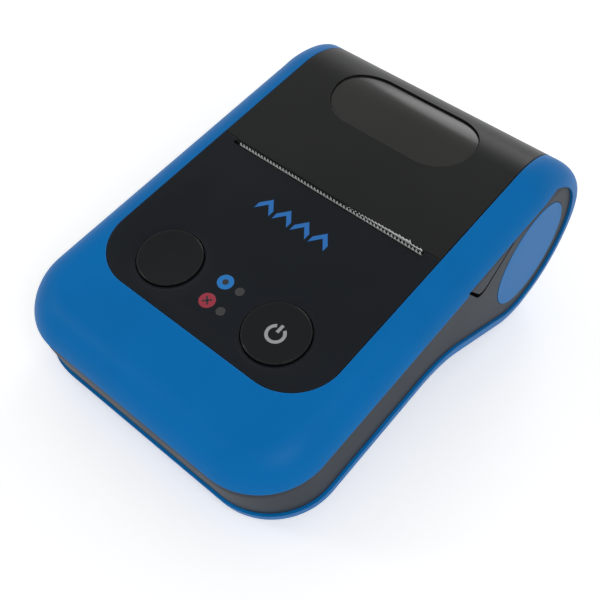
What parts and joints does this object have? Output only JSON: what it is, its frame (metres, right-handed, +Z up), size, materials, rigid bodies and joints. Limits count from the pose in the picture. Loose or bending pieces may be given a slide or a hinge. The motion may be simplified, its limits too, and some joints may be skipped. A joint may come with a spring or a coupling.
{
  "type": "label printer",
  "caption": "Pocket thermal printer for narrow paper rolls, with a hinged rear cover over the roll bay, a tear blade, two round keys and side release levers.",
  "frame": {"origin": "centre of the bounding box's underside, on the table plane under the feet", "axes": "+X to the right seen from the key end, +Y from the key end towards the roll lobe, +Z up"},
  "size_m": [0.088, 0.1266, 0.0494],
  "materials": {
    "blue_shell": "satin moulded plastic",
    "blue_trim": "satin moulded plastic",
    "grey_waist": "fine grained plastic",
    "black_panel": "fine grained plastic",
    "key_black": "polished",
    "smoke_window": "polished dark smoke",
    "inner_black": "moulded",
    "spring_steel": "brushed",
    "sheet_steel": "zinc plated",
    "screw_steel": "dark zinc",
    "head_ceramic": "glazed ceramic",
    "sink_aluminium": "extruded",
    "gear_nylon": "moulded nylon",
    "platen_rubber": "ground rubber",
    "foot_rubber": "moulded rubber",
    "paper_white": "coated thermal paper",
    "core_grey": "moulded core",
    "board_green": "solder mask",
    "switch_black": "moulded",
    "battery_wrap": "shrink sleeve",
    "mark_blue": "printed inlay",
    "mark_red": "printed inlay",
    "lens_grey": "diffusing"
  },
  "bodies": {
    "base": {"top_shell": "blue_shell", "bottom_shell": "blue_shell", "battery_door": "blue_shell", "side_disc_left": "blue_trim", "side_disc_right": "blue_trim", "mid_frame": "grey_waist", "control_panel": "black_panel", "roll_cradle": "inner_black", "paper_sensor": "inner_black", "tear_blade": "spring_steel", "head_springs": "spring_steel", "hinge_pin": "spring_steel", "battery_contacts": "spring_steel", "mechanism_frame": "sheet_steel", "stepper_motor": "sheet_steel", "charge_socket": "sheet_steel", "case_screws": "screw_steel", "print_head": "head_ceramic", "head_heat_sink": "sink_aluminium", "rubber_feet": "foot_rubber", "paper_web": "paper_white", "main_board": "board_green", "tact_switches": "switch_black", "battery_pack": "battery_wrap", "link_mark": "mark_blue", "fault_mark": "mark_red", "led_lenses": "lens_grey"},
    "cover": {"paper_cover": "black_panel", "cover_window": "smoke_window", "platen_bushes": "inner_black"},
    "platen": {"platen_roller": "platen_rubber", "platen_shaft": "spring_steel", "platen_gear": "gear_nylon"},
    "idler": {"idler_gear": "gear_nylon"},
    "motor_rotor": {"motor_pinion": "gear_nylon", "motor_shaft": "spring_steel"},
    "roll": {"paper_roll": "paper_white", "roll_core": "core_grey"},
    "feed_key": {"feed_button": "key_black"},
    "power_key": {"power_button": "key_black"},
    "lever_left": {"release_lever_left": "grey_waist"},
    "lever_right": {"release_lever_right": "grey_waist"}
  },
  "joints": [
    {"name": "cover_hinge", "type": "hinge", "parent": "base", "child": "cover", "pos_m": [0, 0.06091, 0.02134], "axis": [-1, 0, 0], "range_deg": [0, 95]},
    {"name": "platen_spin", "type": "hinge", "parent": "cover", "child": "platen", "pos_m": [0, 0.00982, 0.03472], "axis": [1, 0, 0], "continuous": true},
    {"name": "idler_spin", "type": "hinge", "parent": "base", "child": "idler", "pos_m": [0, 0.00715, 0.02452], "axis": [1, 0, 0], "continuous": true},
    {"name": "motor_spin", "type": "hinge", "parent": "base", "child": "motor_rotor", "pos_m": [0, -0.00189, 0.02409], "axis": [1, 0, 0], "continuous": true},
    {"name": "roll_spin", "type": "hinge", "parent": "base", "child": "roll", "pos_m": [0, 0.04031, 0.01919], "axis": [1, 0, 0], "continuous": true},
    {"name": "feed_press", "type": "slide", "parent": "base", "child": "feed_key", "axis": [0, 0.2122, -0.9772], "range_m": [0, 0.0005], "stiffness_N_per_m": 300, "springref_m": -0.0003},
    {"name": "power_press", "type": "slide", "parent": "base", "child": "power_key", "axis": [0, 0.2122, -0.9772], "range_m": [0, 0.0005], "stiffness_N_per_m": 300, "springref_m": -0.0003},
    {"name": "left_lever_press", "type": "slide", "parent": "base", "child": "lever_left", "axis": [1, 0, 0], "range_m": [0, 0.0012], "stiffness_N_per_m": 700, "springref_m": -0.0004},
    {"name": "right_lever_press", "type": "slide", "parent": "base", "child": "lever_right", "axis": [-1, 0, 0], "range_m": [0, 0.0012], "stiffness_N_per_m": 700, "springref_m": -0.0004}
  ],
  "couplings": [
    {"joint": "idler_spin", "follows": "platen_spin", "ratio": -0.75},
    {"joint": "motor_spin", "follows": "platen_spin", "ratio": 1.5}
  ]
}
